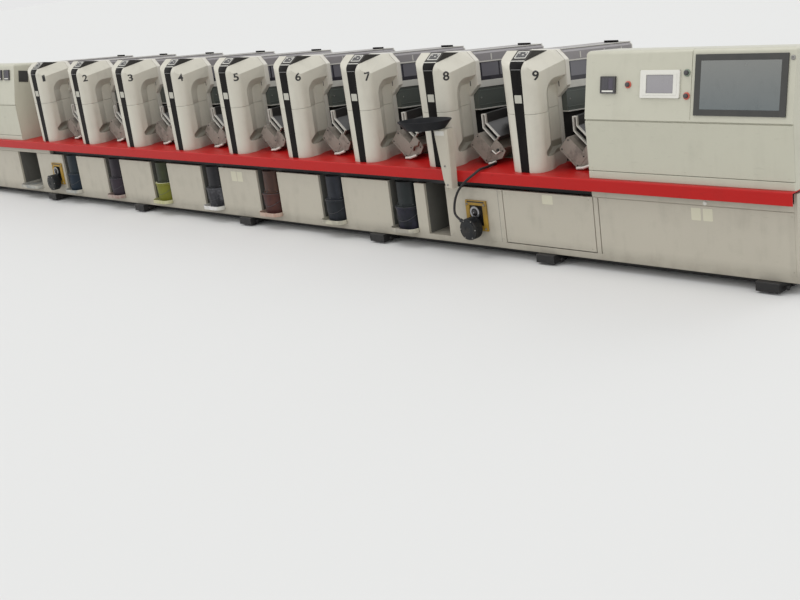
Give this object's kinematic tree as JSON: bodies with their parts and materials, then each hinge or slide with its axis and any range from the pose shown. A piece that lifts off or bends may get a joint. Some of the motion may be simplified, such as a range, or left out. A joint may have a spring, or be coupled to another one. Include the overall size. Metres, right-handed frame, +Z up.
{
  "type": "flexographic printing press",
  "caption": "In-line flexographic printing press with sculpted print-unit covers, a red operator shelf, ink pail niches and two control consoles.",
  "frame": {"origin": "on the floor, at the middle of the length and of the depth", "axes": "+X along the machine towards unit nine, +Y from the operator side to the drive side, +Z up"},
  "size_m": [9.622, 1.45, 1.328],
  "materials": {
    "black_frame": "satin black paint on the floor rails, feet and shelf beam",
    "cream_paint": "semi-gloss cream powder coat",
    "red_paint": "gloss red powder coat",
    "deck_paint": "cream paint, plain unseen deck",
    "niche_grey": "dark grey inside of the ink niches",
    "cover_shell": "cream sprayed moulded covers",
    "gloss_black": "gloss black strip",
    "hood_grey": "grey painted sheet",
    "tinted_window": "dark tinted acrylic",
    "light_bar": "light grey painted bar",
    "dark_housing": "dark green-grey paint",
    "trough_metal": "ink-stained aluminium",
    "channel_paint": "light grey paint",
    "roller_rubber": "black rubber-covered roller with steel journals",
    "pail_plastic": "dark ink-stained plastic pails",
    "pump_metal": "black painted pumps",
    "bracket_yellow": "yellow paint",
    "screen_black": "dark screens in black and white bezels",
    "control_plastic": "push buttons and meter",
    "dish_black": "black moulded dish",
    "hose_rubber": "black rubber ink hose"
  },
  "bodies": {
    "press": {"access_door": "cream_paint", "base_floor": "cream_paint", "base_rails": "black_frame", "base_trims": "cream_paint", "bearing_brackets": "dark_housing", "cabinet_back": "cream_paint", "cabinet_ends": "cream_paint", "cabinet_panels": "cream_paint", "console_base_panels": "cream_paint", "console_controls": "control_plastic", "control_screens": "screen_black", "cover_keypads": "gloss_black", "cover_rims": "cover_shell", "cover_strips": "gloss_black", "deck_plate": "deck_paint", "dish_tray": "dish_black", "drive_covers": "cream_paint", "drive_frames": "hood_grey", "hood_bars": "light_bar", "hood_latches": "gloss_black", "hood_tops": "hood_grey", "hood_windows": "tinted_window", "hose_gland": "pump_metal", "ink_channels": "channel_paint", "ink_hose": "hose_rubber", "ink_pails": "pail_plastic", "ink_troughs": "trough_metal", "knee_panels": "cream_paint", "left_console": "cream_paint", "levelling_feet": "black_frame", "niche_back": "niche_grey", "niche_walls": "niche_grey", "pail_pumps": "pump_metal", "pail_trays": "cream_paint", "pump_brackets": "bracket_yellow", "red_shelf": "red_paint", "right_console": "cream_paint", "roller_housings": "dark_housing", "shelf_beam": "black_frame", "side_pumps": "pump_metal", "tray_post": "cream_paint", "unit_cores": "black_frame", "unit_covers": "cover_shell"},
    "roller_body_1": {"ink_roller_1": "roller_rubber"},
    "roller_body_2": {"ink_roller_2": "roller_rubber"},
    "roller_body_3": {"ink_roller_3": "roller_rubber"},
    "roller_body_4": {"ink_roller_4": "roller_rubber"},
    "roller_body_5": {"ink_roller_5": "roller_rubber"},
    "roller_body_6": {"ink_roller_6": "roller_rubber"},
    "roller_body_7": {"ink_roller_7": "roller_rubber"},
    "roller_body_8": {"ink_roller_8": "roller_rubber"},
    "roller_body_9": {"ink_roller_9": "roller_rubber"}
  },
  "joints": [
    {"name": "roller_spin_1", "type": "hinge", "parent": "press", "child": "roller_body_1", "pos_m": [-2.64838, 0.2, 0.8463], "axis": [0, 1, 0], "continuous": true},
    {"name": "roller_spin_2", "type": "hinge", "parent": "press", "child": "roller_body_2", "pos_m": [-1.89838, 0.2, 0.8463], "axis": [0, 1, 0], "continuous": true},
    {"name": "roller_spin_3", "type": "hinge", "parent": "press", "child": "roller_body_3", "pos_m": [-1.14838, 0.2, 0.8463], "axis": [0, 1, 0], "continuous": true},
    {"name": "roller_spin_4", "type": "hinge", "parent": "press", "child": "roller_body_4", "pos_m": [-0.39838, 0.2, 0.8463], "axis": [0, 1, 0], "continuous": true},
    {"name": "roller_spin_5", "type": "hinge", "parent": "press", "child": "roller_body_5", "pos_m": [0.35162, 0.2, 0.8463], "axis": [0, 1, 0], "continuous": true},
    {"name": "roller_spin_6", "type": "hinge", "parent": "press", "child": "roller_body_6", "pos_m": [1.10162, 0.2, 0.8463], "axis": [0, 1, 0], "continuous": true},
    {"name": "roller_spin_7", "type": "hinge", "parent": "press", "child": "roller_body_7", "pos_m": [1.85162, 0.2, 0.8463], "axis": [0, 1, 0], "continuous": true},
    {"name": "roller_spin_8", "type": "hinge", "parent": "press", "child": "roller_body_8", "pos_m": [2.60162, 0.2, 0.8463], "axis": [0, 1, 0], "continuous": true},
    {"name": "roller_spin_9", "type": "hinge", "parent": "press", "child": "roller_body_9", "pos_m": [3.35162, 0.2, 0.8463], "axis": [0, 1, 0], "continuous": true}
  ]
}
